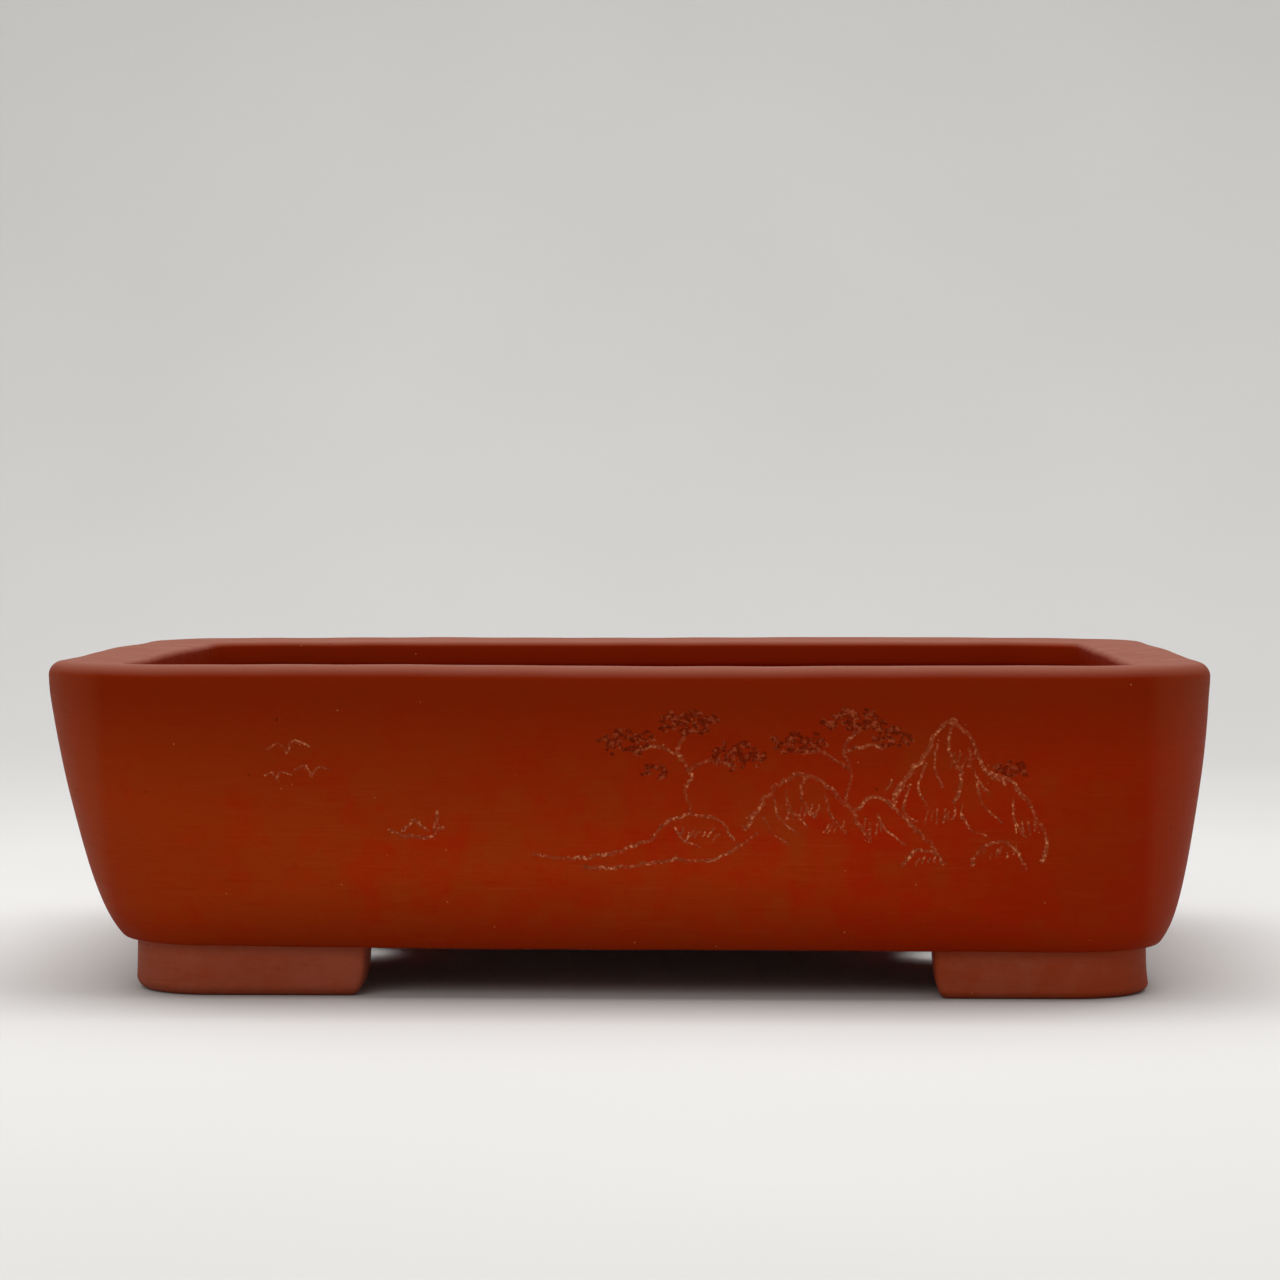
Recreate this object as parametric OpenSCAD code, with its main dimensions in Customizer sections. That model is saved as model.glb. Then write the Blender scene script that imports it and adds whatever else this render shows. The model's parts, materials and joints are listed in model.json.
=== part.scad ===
// Rectangular bonsai pot of unglazed red clay, built up from slabs.
//
// Frame: +X runs along the pot's length, +Y points to its back and +Z is up. The
// origin is on the ground, under the middle of the rim.
//
// Build: a floor slab lies inside four wall slabs, which meet at mitres in the middle
// of the rounded corners. Four thick rim strips are luted on top of the walls, mitred the
// same way, with a lip that reaches inwards over the soil. Four L-shaped feet stand
// under the corners. All pieces meet face to face, as luted clay does.

/* [Rim] */
// Length of the pot over the rim, left to right
rim_length = 310; // [260:1:400]
// Width of the pot over the rim, front to back
rim_width = 225; // [190:1:300]
// Height of the rim's top above the ground
pot_height = 88; // [75:1:110]
// Radius of the pot's corners in plan, at the rim
corner_r = 42; // [40:1:60]
// Width of a rim strip, from the outside to the tip of the lip
rim_strip_w = 21; // [15:0.5:26]
// Thickness of a rim strip
rim_thickness = 9; // [6:0.5:12]
// Radius of the rim's outer top edge
rim_edge_r = 3.8; // [2:0.1:4]
// Width of the flat land on the rim's top, next to its outer edge
rim_land_w = 4; // [2:0.5:8]
// How far the rim's top slopes down from the land to the lip
rim_drop = 0.8; // [0.2:0.1:1.5]
// Radius of the lip's two edges
rim_lip_r = 1.8; // [1:0.1:2.5]

/* [Walls] */
// Thickness of a wall slab, measured level
wall_thickness = 8; // [6:0.5:9]
// How far the walls taper in from the rim to the base
wall_taper = 13.2; // [6:0.1:14]
// How far the walls tuck in on top of that, close to the base
wall_tuck = 3.4; // [1:0.1:4.5]
// How far the base stands to the right of the rim: the soft clay leaned as it dried
base_lean = 3.2; // [0:0.1:5]

/* [Floor] */
// Thickness of the floor slab
floor_thickness = 8; // [6:0.5:10]
// Diameter of a drainage hole
drain_hole_d = 24; // [16:1:30]
// Distance between the two drainage holes, along the pot
drain_hole_spacing = 180; // [130:2:190]
// Diameter of a hole for the tree's tie wire
wire_hole_d = 5; // [4:0.5:7]
// Distance between the wire holes along the pot
wire_hole_spacing_x = 184; // [90:2:200]
// Distance between the wire holes across the pot
wire_hole_spacing_y = 96; // [70:2:110]

/* [Feet] */
// Height of a foot
foot_height = 13; // [8:0.5:18]
// Width of a foot's two legs
foot_leg_w = 17; // [12:0.5:22]
// How far the feet are set in from the body's bottom edge
foot_set_in = 3.3; // [0:0.1:4]
// Length of the left feet along the pot's front and back
left_foot_length = 64.5; // [45:0.5:75]
// Length of the right feet along the pot's front and back
right_foot_length = 57.5; // [45:0.5:75]
// Length of all feet along the pot's ends
foot_end_length = 50; // [45:0.5:60]
// How much shorter a foot's leg is at the ground than at its top
foot_undercut = 3; // [0:0.5:5]

/* [Hidden] */

$fn = 96;

// Colours of the fired clay: the burnished wall, the paler rim and the duller feet.
wall_colour = [0.50, 0.18, 0.09];
rim_colour = [0.61, 0.35, 0.28];
foot_colour = [0.45, 0.22, 0.17];
floor_colour = [0.40, 0.16, 0.09];

// The walls end where the rim strips begin.
wall_top = pot_height - rim_thickness;
floor_top = foot_height + floor_thickness;

// The taper and the tuck grow as powers of the depth below the rim's rounded edge.
taper_power = 1.4;
tuck_power = 13;
function depth_share(z) = (pot_height - rim_edge_r - z) / (pot_height - rim_edge_r - foot_height);
function wall_inset(z) = wall_taper * pow(depth_share(z), taper_power)
                       + wall_tuck * pow(depth_share(z), tuck_power);

// Heights at which the wall's outline has a point, closer together down at the tuck.
outer_steps = 14;
inner_steps = 8;
step_power = 0.6;
outer_heights = [for (i = [0:outer_steps])
  foot_height + (wall_top - foot_height) * (1 - pow(i / outer_steps, step_power))];
inner_heights = [for (i = [0:inner_steps])
  floor_top + (wall_top - floor_top) * pow(i / inner_steps, 1 / step_power)];

// The floor slab's edge stands upright against the foot of the walls.
floor_inset = wall_inset(floor_top) + wall_thickness;
foot_inset = wall_inset(foot_height) + foot_set_in;

// A cut or a drill runs past the clay by this much.
past = 1;

// Leans the body to +X below the rim, and leaves what touches the rim in place.
module lean() {
  slope = base_lean / (wall_top - foot_height);
  multmatrix([[1, 0, -slope, slope * wall_top], [0, 1, 0, 0], [0, 0, 1, 0]])
    children();
}

// One side of the pot, facing -Y: the section given as a child, whose X is the inset
// from the rim's outline, runs along the side and around half of both its corners.
module side(along, across) {
  run = along - 2 * corner_r;
  translate([-run / 2, -across / 2, 0])
    rotate([90, 0, 90])
      linear_extrude(run) children();
  for (end = [-1, 1])
    translate([end * run / 2, corner_r - across / 2, 0])
      rotate([0, 0, end < 0 ? 225 : 270])
        rotate_extrude(angle = 45)
          translate([corner_r, 0]) mirror([1, 0]) children();
}

// Turns a side that faces -Y so that it becomes the front, right, back or left side.
module front_side() side(rim_length, rim_width) children();
module right_side() rotate([0, 0, 90]) side(rim_width, rim_length) children();
module back_side() rotate([0, 0, 180]) front_side() children();
module left_side() rotate([0, 0, 180]) right_side() children();

// The plan outline of the pot, drawn in by an inset.
module plan(inset) {
  r = corner_r - inset;
  square([rim_length - 2 * inset, rim_width - 2 * corner_r], center = true);
  square([rim_length - 2 * corner_r, rim_width - 2 * inset], center = true);
  for (x = [-1, 1], y = [-1, 1])
    translate([x * (rim_length / 2 - corner_r), y * (rim_width / 2 - corner_r)])
      circle(r);
}

// A wall's section: the outer curve down to the bottom edge, the upright seat of the
// floor slab, and the inner curve back up to the rim.
module wall_section() {
  polygon(concat(
    [for (z = outer_heights) [wall_inset(z), z]],
    [[floor_inset, foot_height]],
    [for (z = inner_heights) [wall_inset(z) + wall_thickness, z]]));
}

// A rim strip's section: its outer top edge is round, a flat land runs next to it, and
// from there the top slopes down to a lip with two rounded edges.
module rim_section() {
  edge_z = pot_height - rim_edge_r;
  land_end = rim_edge_r + rim_land_w;
  lip_top = pot_height - rim_drop;
  lip_w = rim_strip_w - rim_lip_r;
  polygon([[wall_inset(wall_top), wall_top], [0, edge_z], [rim_edge_r, edge_z],
           [rim_edge_r, pot_height], [land_end, pot_height], [lip_w, lip_top],
           [rim_strip_w, lip_top - rim_lip_r], [rim_strip_w, wall_top + rim_lip_r],
           [lip_w, wall_top]]);
  intersection() {
    translate([rim_edge_r, edge_z]) circle(rim_edge_r);
    translate([0, edge_z]) square(rim_edge_r);
  }
  for (z = [wall_top + rim_lip_r, lip_top - rim_lip_r])
    translate([lip_w, z]) circle(rim_lip_r);
}

module front_wall() color(wall_colour) lean() front_side() wall_section();
module right_wall() color(wall_colour) lean() right_side() wall_section();
module back_wall() color(wall_colour) lean() back_side() wall_section();
module left_wall() color(wall_colour) lean() left_side() wall_section();

module rim_front() color(rim_colour) front_side() rim_section();
module rim_right() color(rim_colour) right_side() rim_section();
module rim_back() color(rim_colour) back_side() rim_section();
module rim_left() color(rim_colour) left_side() rim_section();

// A round hole straight down through the floor slab.
module floor_hole(x, y, d) {
  translate([x + base_lean, y, foot_height - past])
    cylinder(d = d, h = floor_thickness + 2 * past);
}

module floor_slab() {
  color(floor_colour)
    difference() {
      lean()
        translate([0, 0, foot_height]) linear_extrude(floor_thickness) plan(floor_inset);
      for (x = [-1, 1])
        floor_hole(x * drain_hole_spacing / 2, 0, drain_hole_d);
      for (x = [-1, 1], y = [-1, 1])
        floor_hole(x * wire_hole_spacing_x / 2, y * wire_hole_spacing_y / 2, wire_hole_d);
    }
}

// Cuts the end of a leg that runs to +X from the origin, so that it slopes in below.
module leg_end(leg) {
  slope = foot_undercut / foot_height;
  rotate([90, 0, 0])
    linear_extrude(2 * rim_width, center = true)
      polygon([[leg - foot_undercut - slope * past, -past],
               [leg + slope * past, foot_height + past],
               [rim_length, foot_height + past], [rim_length, -past]]);
}

// The front left foot: an L around the corner, under the walls and the floor's edge.
module corner_foot(leg_x, leg_y) {
  corner = [foot_inset - rim_length / 2, foot_inset - rim_width / 2];
  difference() {
    linear_extrude(foot_height)
      difference() {
        plan(foot_inset);
        plan(foot_inset + foot_leg_w);
      }
    translate([corner[0], corner[1], 0]) {
      leg_end(leg_x);
      rotate([0, 0, 90]) leg_end(leg_y);
    }
  }
}

// A foot at any corner is the front left one, mirrored across the pot's middle.
module foot(back, right, leg_x) {
  color(foot_colour)
    translate([base_lean, 0, 0])
      mirror([right ? 1 : 0, 0, 0])
        mirror([0, back ? 1 : 0, 0])
          corner_foot(leg_x, foot_end_length);
}

module foot_front_left() foot(false, false, left_foot_length);
module foot_front_right() foot(false, true, right_foot_length);
module foot_back_left() foot(true, false, left_foot_length);
module foot_back_right() foot(true, true, right_foot_length);

floor_slab();
front_wall();
back_wall();
left_wall();
right_wall();
rim_front();
rim_back();
rim_left();
rim_right();
foot_front_left();
foot_front_right();
foot_back_left();
foot_back_right();
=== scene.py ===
"""The look of a slab-built bonsai pot in unglazed red clay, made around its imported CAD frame.

Every CAD node is replaced by a finer mesh in the same place. Each mesh has the soft edges, the
slight unevenness and, on the front wall, the engraved landscape of a pot made by hand.
Lengths are in metres. MM turns a size in millimetres into metres.
"""
import json
import math
import random

import bmesh
import bpy
import numpy as np
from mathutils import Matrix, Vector
from mathutils.kdtree import KDTree


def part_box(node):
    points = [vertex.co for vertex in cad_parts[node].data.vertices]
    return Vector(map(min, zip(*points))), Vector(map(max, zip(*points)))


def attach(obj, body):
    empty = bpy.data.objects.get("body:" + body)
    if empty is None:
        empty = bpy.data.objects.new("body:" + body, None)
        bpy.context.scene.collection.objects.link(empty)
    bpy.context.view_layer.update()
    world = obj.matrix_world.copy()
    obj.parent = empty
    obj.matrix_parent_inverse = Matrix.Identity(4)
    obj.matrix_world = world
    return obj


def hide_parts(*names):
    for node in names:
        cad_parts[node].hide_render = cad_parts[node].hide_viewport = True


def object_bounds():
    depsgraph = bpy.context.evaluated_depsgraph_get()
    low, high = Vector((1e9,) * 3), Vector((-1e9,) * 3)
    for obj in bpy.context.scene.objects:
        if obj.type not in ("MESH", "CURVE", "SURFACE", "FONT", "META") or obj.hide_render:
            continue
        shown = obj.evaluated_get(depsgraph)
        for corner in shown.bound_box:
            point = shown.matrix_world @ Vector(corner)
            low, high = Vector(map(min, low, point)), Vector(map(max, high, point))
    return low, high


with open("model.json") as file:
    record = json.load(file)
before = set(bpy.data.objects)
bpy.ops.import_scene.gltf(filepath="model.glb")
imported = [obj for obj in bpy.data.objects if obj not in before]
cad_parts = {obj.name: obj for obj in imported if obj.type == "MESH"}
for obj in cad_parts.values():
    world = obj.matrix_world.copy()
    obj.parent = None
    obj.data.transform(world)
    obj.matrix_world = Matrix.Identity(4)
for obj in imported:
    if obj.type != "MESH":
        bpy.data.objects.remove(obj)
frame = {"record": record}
CAD_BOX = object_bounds()

MM = 0.001
BODY = "root"

# Sizes that the frame holds.
RIM_LOW, RIM_HIGH = CAD_BOX
LENGTH = RIM_HIGH.x - RIM_LOW.x
WIDTH = RIM_HIGH.y - RIM_LOW.y
HEIGHT = RIM_HIGH.z
WALL_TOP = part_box("front_wall")[1].z
FLOOR_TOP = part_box("floor_slab")[1].z
FOOT_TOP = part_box("floor_slab")[0].z

# Sizes of the design that a box doesn't show. They match the CAD source.
CORNER_R = 42 * MM
RIM_STRIP_W = 21 * MM
RIM_EDGE_R = 3.8 * MM
RIM_LAND_W = 4 * MM
RIM_DROP = 0.8 * MM
RIM_LIP_R = 1.8 * MM
WALL_THICKNESS = 8 * MM
WALL_TAPER = 13.2 * MM
WALL_TUCK = 3.4 * MM
TAPER_POWER = 1.4
TUCK_POWER = 13
BASE_LEAN = 3.2 * MM
FOOT_SET_IN = 3.3 * MM
FOOT_LEG_W = 17 * MM
DRAIN_HOLE_R = 12 * MM
WIRE_HOLE_R = 2.5 * MM

# Each side is built facing -Y and turned into place: its turn, its length, and how far it is to
# the opposite side.
SIDES = {
    "front": (0, LENGTH, WIDTH),
    "right": (math.pi / 2, WIDTH, LENGTH),
    "back": (math.pi, LENGTH, WIDTH),
    "left": (-math.pi / 2, WIDTH, LENGTH),
}


# ---------------------------------------------------------------- shape of the pot


def wall_inset(z):
    """How far the wall's outside lies inside the rim's outline at a height."""
    share = np.clip((HEIGHT - RIM_EDGE_R - z) / (HEIGHT - RIM_EDGE_R - FOOT_TOP), 0, 1)
    return WALL_TAPER * share**TAPER_POWER + WALL_TUCK * share**TUCK_POWER


FLOOR_INSET = float(wall_inset(FLOOR_TOP)) + WALL_THICKNESS
FOOT_INSET = float(wall_inset(FOOT_TOP)) + FOOT_SET_IN


def half_run(along):
    """Half the length of a side's straight stretch."""
    return along / 2 - CORNER_R


def on_side(side, column, inset, z):
    """The place of points on a side: column runs along it and around half of each corner."""
    turn, along, across = SIDES[side]
    straight = np.clip(column, -half_run(along), half_run(along))
    angle = (column - straight) / CORNER_R
    x = straight + (CORNER_R - inset) * np.sin(angle)
    y = CORNER_R - across / 2 - (CORNER_R - inset) * np.cos(angle)
    turned_x = x * math.cos(turn) - y * math.sin(turn)
    turned_y = x * math.sin(turn) + y * math.cos(turn)
    return np.stack([turned_x, turned_y, np.broadcast_to(z, x.shape)], axis=1)


def lean(points):
    """Leans the body to +X below the rim, as the CAD does. The feet move with the base."""
    down = (WALL_TOP - np.clip(points[:, 2], FOOT_TOP, WALL_TOP)) / (WALL_TOP - FOOT_TOP)
    moved = points.copy()
    moved[:, 0] += BASE_LEAN * down
    return moved


# The pot dried a little unevenly. At +X its base hangs lower by BASE_SAG, and at -X higher.
# The rim rises or dips around some places: x, y, reach and height.
BASE_SAG = 0.5 * MM
RIM_SWELLS = [
    (-150 * MM, 5 * MM, 45 * MM, 0.55 * MM),
    (150 * MM, -10 * MM, 45 * MM, 0.35 * MM),
    (-110 * MM, 110 * MM, 30 * MM, -0.35 * MM),
    (-70 * MM, -112 * MM, 90 * MM, -0.4 * MM),
    (80 * MM, -112 * MM, 90 * MM, -0.35 * MM),
    (40 * MM, 112 * MM, 90 * MM, 0.35 * MM),
]
# Slow waves in the clay: wavelength and height.
WAVES = [(150 * MM, 0.16 * MM), (62 * MM, 0.08 * MM), (24 * MM, 0.03 * MM)]


def make_uneven(points):
    """Adds the slow unevenness of hand-made clay, the same for all pieces at one place."""
    rng = np.random.default_rng(11)
    moved = points.copy()
    x, y, z = points.T
    off_ground = np.clip(z / FOOT_TOP, 0, 1)
    for wavelength, height in WAVES:
        for _ in range(5):
            along, push = rng.normal(size=3), rng.normal(size=3)
            along /= np.linalg.norm(along)
            push /= np.linalg.norm(push)
            phase = rng.uniform(0, 2 * math.pi)
            wave = height * np.sin(points @ along * 2 * math.pi / wavelength + phase)
            shift = wave[:, None] * push
            shift[:, 2] *= off_ground
            moved += shift
    below_rim = np.clip((HEIGHT - z) / (HEIGHT - FOOT_TOP), 0, 1)
    moved[:, 2] -= BASE_SAG * x / (LENGTH / 2) * off_ground * below_rim
    for swell_x, swell_y, reach, rise in RIM_SWELLS:
        near = np.exp(-((x - swell_x) ** 2 + (y - swell_y) ** 2) / reach**2)
        moved[:, 2] += rise * near * np.clip(z / HEIGHT, 0, 1) ** 3
    return moved


def arc(centre, radius, start, end, steps):
    """Points on a circle from one angle in degrees to another."""
    angles = np.radians(np.linspace(start, end, steps + 1))
    return [(centre[0] + radius * math.cos(a), centre[1] + radius * math.sin(a)) for a in angles]


# ---------------------------------------------------------------- meshes


def make_object(name, points, faces, sharp_edges=None):
    """A smooth-shaded mesh object.

    sharp_edges(a, b) says which of the edges between point numbers a and b stay sharp.
    """
    mesh = bpy.data.meshes.new(name)
    mesh.from_pydata(np.asarray(points).tolist(), [], faces)
    mesh.validate()
    mesh.shade_smooth()
    if sharp_edges:
        ends = np.zeros(len(mesh.edges) * 2, int)
        mesh.edges.foreach_get("vertices", ends)
        ends = ends.reshape(-1, 2)
        flags = mesh.attributes.new("sharp_edge", "BOOLEAN", "EDGE")
        flags.data.foreach_set("value", sharp_edges(ends[:, 0], ends[:, 1]))
    piece = bpy.data.objects.new(name, mesh)
    bpy.context.scene.collection.objects.link(piece)
    return piece


def place(piece, node, material):
    """Puts a finished piece into the frame in place of its CAD node."""
    piece.data.materials.append(material)
    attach(piece, BODY)
    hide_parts(node)


# A coarse cell is split into this many steps each way, at most.
FINE = 16
# Distances between a side's columns, on its straight stretch and around its corners.
STRAIGHT_STEP = 3.2 * MM
CORNER_STEP = 0.8 * MM


def side_columns(side):
    """Places along a side where its mesh has a column, close together around the corners."""
    along = SIDES[side][1]
    run = half_run(along)
    end = run + CORNER_R * math.pi / 4
    straight = np.linspace(-run, run, round(2 * run / STRAIGHT_STEP) + 1)
    corner = np.linspace(run, end, round((end - run) / CORNER_STEP) + 1)[1:]
    return np.concatenate([-corner[::-1], straight, corner])


def split_cells(columns, rows, wanted):
    """Splits coarse cells into leaves (column, row, size), counted in fine steps, where wanted."""
    leaves = []
    stack = [(i * FINE, j * FINE, FINE) for i in range(columns) for j in range(rows)]
    while stack:
        i, j, size = stack.pop()
        if size > 1 and wanted(i, j, size):
            half = size // 2
            stack += [(i + a, j + b, half) for a in (0, half) for b in (0, half)]
        else:
            leaves.append((i, j, size))
    return leaves


def leaf_faces(leaves, rows):
    """Numbers the leaves' corners, and lists faces that take in smaller neighbours' corners."""
    wrap = rows * FINE
    number = {}
    for i, j, size in leaves:
        for a, b in ((0, 0), (0, size), (size, size), (size, 0)):
            number.setdefault((i + a, (j + b) % wrap), len(number))
    faces = []
    for i, j, size in leaves:
        ring = [(i, j + k) for k in range(size)]
        ring += [(i + k, j + size) for k in range(size)]
        ring += [(i + size, j + size - k) for k in range(size)]
        ring += [(i + size - k, j) for k in range(size)]
        places = [(a, b % wrap) for a, b in ring]
        faces.append([number[p] for p in places if p in number])
    return number, faces


def swept_piece(name, side, section, sharp_rows, wanted=None, carve=None):
    """A closed piece with one section, (inset, z) points, along a side and half of each corner.

    wanted(column, z, half_size) says where the outer face needs finer cells. carve(column, z,
    outer) gives the depth to cut at each point, and how much of a line or a peck is there. The
    outer face is the section's first stretch, down to the bottom edge.
    """
    columns = side_columns(side)
    rows = len(section)
    inset, z = np.array(section).T
    outer_rows = int(np.argmin(z > FOOT_TOP + BOTTOM_EDGE_R / 2)) if wanted else 0

    def lattice(i, j):
        """Column, inset, z and row below, at fractional columns i and rows j."""
        low = np.floor(j).astype(int)
        part = j - low
        high = (low + 1) % rows
        column = np.interp(i, np.arange(len(columns)), columns)
        deep = z[low] * (1 - part) + z[high] * part
        inwards = inset[low] * (1 - part) + inset[high] * part
        return column, np.where(low < outer_rows - 1, wall_inset(deep), inwards), deep, low

    def finer(i, j, size):
        """Whether a leaf is split. Only the outer face of a piece with wanted has such leaves."""
        if j // FINE >= outer_rows - 1:
            return False
        middle = np.array([i + size / 2]) / FINE, np.array([j + size / 2]) / FINE
        column, _, deep, _ = lattice(*middle)
        return wanted(column[0], deep[0], size / FINE * STRAIGHT_STEP / 2)

    leaves = split_cells(len(columns) - 1, rows, finer)
    number, faces = leaf_faces(leaves, rows)
    keys = np.array(list(number))
    column, inwards, deep, low = lattice(keys[:, 0] / FINE, keys[:, 1] / FINE)
    marks = carve(column, deep, low < outer_rows - 1) if carve else None
    if marks:
        inwards = inwards + marks["depth"]
    points = make_uneven(lean(on_side(side, column, inwards, deep)))

    last = (len(columns) - 1) * FINE
    for end in (0, last):
        ring = sorted((j, n) for (i, j), n in number.items() if i == end)
        loop = [n for _, n in ring]
        faces.append(loop[::-1] if end == 0 else loop)

    def sharp(a, b):
        """Edges stay sharp along the sharp rows and around the two ends."""
        same_row = (keys[a, 1] == keys[b, 1]) & np.isin(keys[a, 1], np.array(sharp_rows) * FINE)
        same_end = (keys[a, 0] == keys[b, 0]) & np.isin(keys[a, 0], [0, last])
        return same_row | same_end

    piece = make_object(name, points, faces, sharp)
    if marks:
        for key in ("cut", "peck"):
            attribute = piece.data.attributes.new(key, "FLOAT", "POINT")
            attribute.data.foreach_set("value", marks[key].astype(np.float32))
    return piece


# ---------------------------------------------------------------- walls and rim

BOTTOM_EDGE_R = 1.0 * MM
# The outer face has its rows closer together in the tuck above the bottom edge.
WALL_ROWS = 22
TUCK_ROWS = 8
TUCK_HEIGHT = 10 * MM
INNER_ROWS = 12
# The fillet inside, between floor and wall, and how far its corner is pulled back.
COVE_R = 4 * MM
COVE_PULL = 0.3 * MM


def bend(start, corner, end, shares):
    """Points on a curve from start to end that rounds off the corner, at shares of its way."""
    points = []
    for t in shares:
        pull = ((1 - t) ** 2, 2 * t * (1 - t), t**2)
        pairs = list(zip(pull, (start, corner, end)))
        points.append(tuple(sum(w * p[k] for w, p in pairs) for k in (0, 1)))
    return points


def wall_section():
    """A wall's section, from its top outer edge down, under and up the inside, and sharp rows."""
    tuck_top = FOOT_TOP + TUCK_HEIGHT
    low = FOOT_TOP + BOTTOM_EDGE_R
    heights = list(np.linspace(WALL_TOP, tuck_top, WALL_ROWS + 1))
    heights += list(np.linspace(tuck_top, low, TUCK_ROWS + 1))[1:]
    outer = [(float(wall_inset(h)), h) for h in heights]
    corner = (float(wall_inset(FOOT_TOP)), FOOT_TOP)
    under = (corner[0] + BOTTOM_EDGE_R, FOOT_TOP)
    edge = bend(outer[-1], corner, under, (0.25, 0.5, 0.75, 1.0))
    seat = [(FLOOR_INSET, FOOT_TOP), (FLOOR_INSET, FLOOR_TOP), (FLOOR_INSET + COVE_R, FLOOR_TOP)]
    cove_top = FLOOR_TOP + COVE_R
    heights = np.linspace(cove_top, WALL_TOP, INNER_ROWS + 1)
    inner = [(float(wall_inset(h)) + WALL_THICKNESS, h) for h in heights]
    cove = bend(seat[-1], (FLOOR_INSET - COVE_PULL, FLOOR_TOP), inner[0], (0.2, 0.4, 0.6, 0.8))
    section = outer + edge + seat + cove + inner
    seat_row = len(outer) + len(edge)
    return section, [0, seat_row, seat_row + 1, seat_row + 2, len(section) - 1]


def rim_section():
    """A rim strip's section, from its top over the edge, under and up over the lip, and sharp rows."""
    edge_z = HEIGHT - RIM_EDGE_R
    lip_w = RIM_STRIP_W - RIM_LIP_R
    lip_top = HEIGHT - RIM_DROP
    land_end = RIM_EDGE_R + RIM_LAND_W
    edge = arc((RIM_EDGE_R, edge_z), RIM_EDGE_R, 90, 180, 12)
    outer = [(float(wall_inset(h)), h) for h in np.linspace(edge_z, WALL_TOP, 5)[1:]]
    seat = WALL_THICKNESS + outer[-1][0]
    under = [(w, WALL_TOP) for w in np.linspace(seat, lip_w, 5)[:-1]]
    lip = arc((lip_w, WALL_TOP + RIM_LIP_R), RIM_LIP_R, -90, 0, 5)
    slope = math.degrees(math.atan2(RIM_DROP, lip_w - land_end))
    lip += arc((lip_w, lip_top - RIM_LIP_R), RIM_LIP_R, 0, 90 - slope, 7)
    top = []
    for t in np.linspace(0, 1, 8)[1:]:
        top.append((lip_w + t * (land_end - lip_w), lip_top + t * RIM_DROP))
    top += [((land_end + RIM_EDGE_R) / 2, HEIGHT)]
    return edge + outer + under + lip + top, [len(edge) + len(outer) - 1]


# ---------------------------------------------------------------- engraving

# A plain landscape of hills, pines and water is cut into the front wall with a pointed knife while
# the clay is leather hard. Places are millimetres along the wall from its middle, and millimetres
# above the ground.
PEAKS = [
    [(68, 52), (72, 60), (77, 65), (80, 71), (84, 74), (88, 70), (91, 63), (97, 58)],
    [(30, 46), (35, 53), (40, 58), (46, 60), (52, 57), (58, 50), (62, 43)],
    [(94, 60), (99, 58), (104, 51), (107, 43), (106, 38)],
    [(58, 50), (63, 54), (68, 52), (74, 46), (79, 41)],
]
SHORES = [
    [(-25, 39), (-14, 38), (-4, 39.5), (6, 43)],
    [(-12, 35.5), (0, 36), (12, 38)],
]
BOULDERS = [
    [(6, 43), (10, 47.5), (17, 49.5), (24, 47.5), (27, 43)],
    [(12, 38), (20, 37.5), (27, 40.5), (33, 45)],
    [(88, 37), (91, 41.5), (96, 43), (100, 40), (102, 36)],
    [(70, 36.5), (73, 40), (78, 40.5), (81, 37)],
]
RIDGES = [
    [(84, 74), (83, 67), (86, 60), (84, 53)],
    [(46, 60), (45, 54), (48, 49)],
]
FOLDS = [
    [(77, 63), (75, 57), (77, 52)],
    [(80, 68), (79, 62), (81, 57)],
    [(88, 67), (89, 61), (93, 55)],
    [(90, 59), (91, 53), (96, 48)],
    [(99, 54), (99, 49), (102, 44)],
    [(38, 54), (39, 49), (43, 45)],
    [(41, 56), (42, 51), (46, 46.5)],
    [(51, 55), (52, 50), (56, 45)],
    [(35, 49), (37, 45), (41, 42)],
    [(64, 50), (66, 46), (71, 42)],
    [(12, 46), (14, 43), (18, 41)],
    [(72, 56), (71, 51), (74, 48)],
    [(86, 50), (88, 46), (92, 44.5)],
]
TRUNKS = [
    [(17, 49.5), (15, 55), (17, 60), (14, 66), (16, 71)],
    [(16, 61), (22, 63.5), (27, 62.5)],
    [(15, 65), (8, 67.5), (3, 66)],
    [(56, 53), (58, 60), (56, 66), (59, 71)],
    [(57, 62), (50, 66), (46, 65.5)],
    [(57, 66), (63, 68), (66, 67)],
]
# Pine foliage: the middle and the half sizes of a clump, and how many pecks fill it.
CLUMPS = [
    ((17, 73.5), (8, 3), 84),
    ((29, 65), (7, 3.2), 70),
    ((1, 68.5), (7.5, 3), 66),
    ((8, 61), (4, 1.8), 18),
    ((59, 74), (8, 2.8), 80),
    ((45, 68), (7, 2.8), 60),
    ((69, 69.5), (5, 2.6), 38),
    ((99, 62), (4.5, 2.2), 26),
]
# Groups of short parallel cuts that shade the rocks: their middle, how many there are, their
# length, and their slope in degrees.
SHADING = [
    ((86, 64), 4, 4, 75),
    ((81, 50), 7, 3.5, 80),
    ((45, 50), 6, 3.5, 70),
    ((53, 47), 4, 3, 60),
    ((95, 40), 6, 2.4, 75),
    ((75.5, 38.5), 5, 2.2, 65),
    ((18, 44.5), 7, 2.6, 55),
    ((102, 47), 4, 3.5, 95),
    ((70, 57), 4, 3, 60),
    ((63, 47), 4, 3, 85),
]
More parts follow.
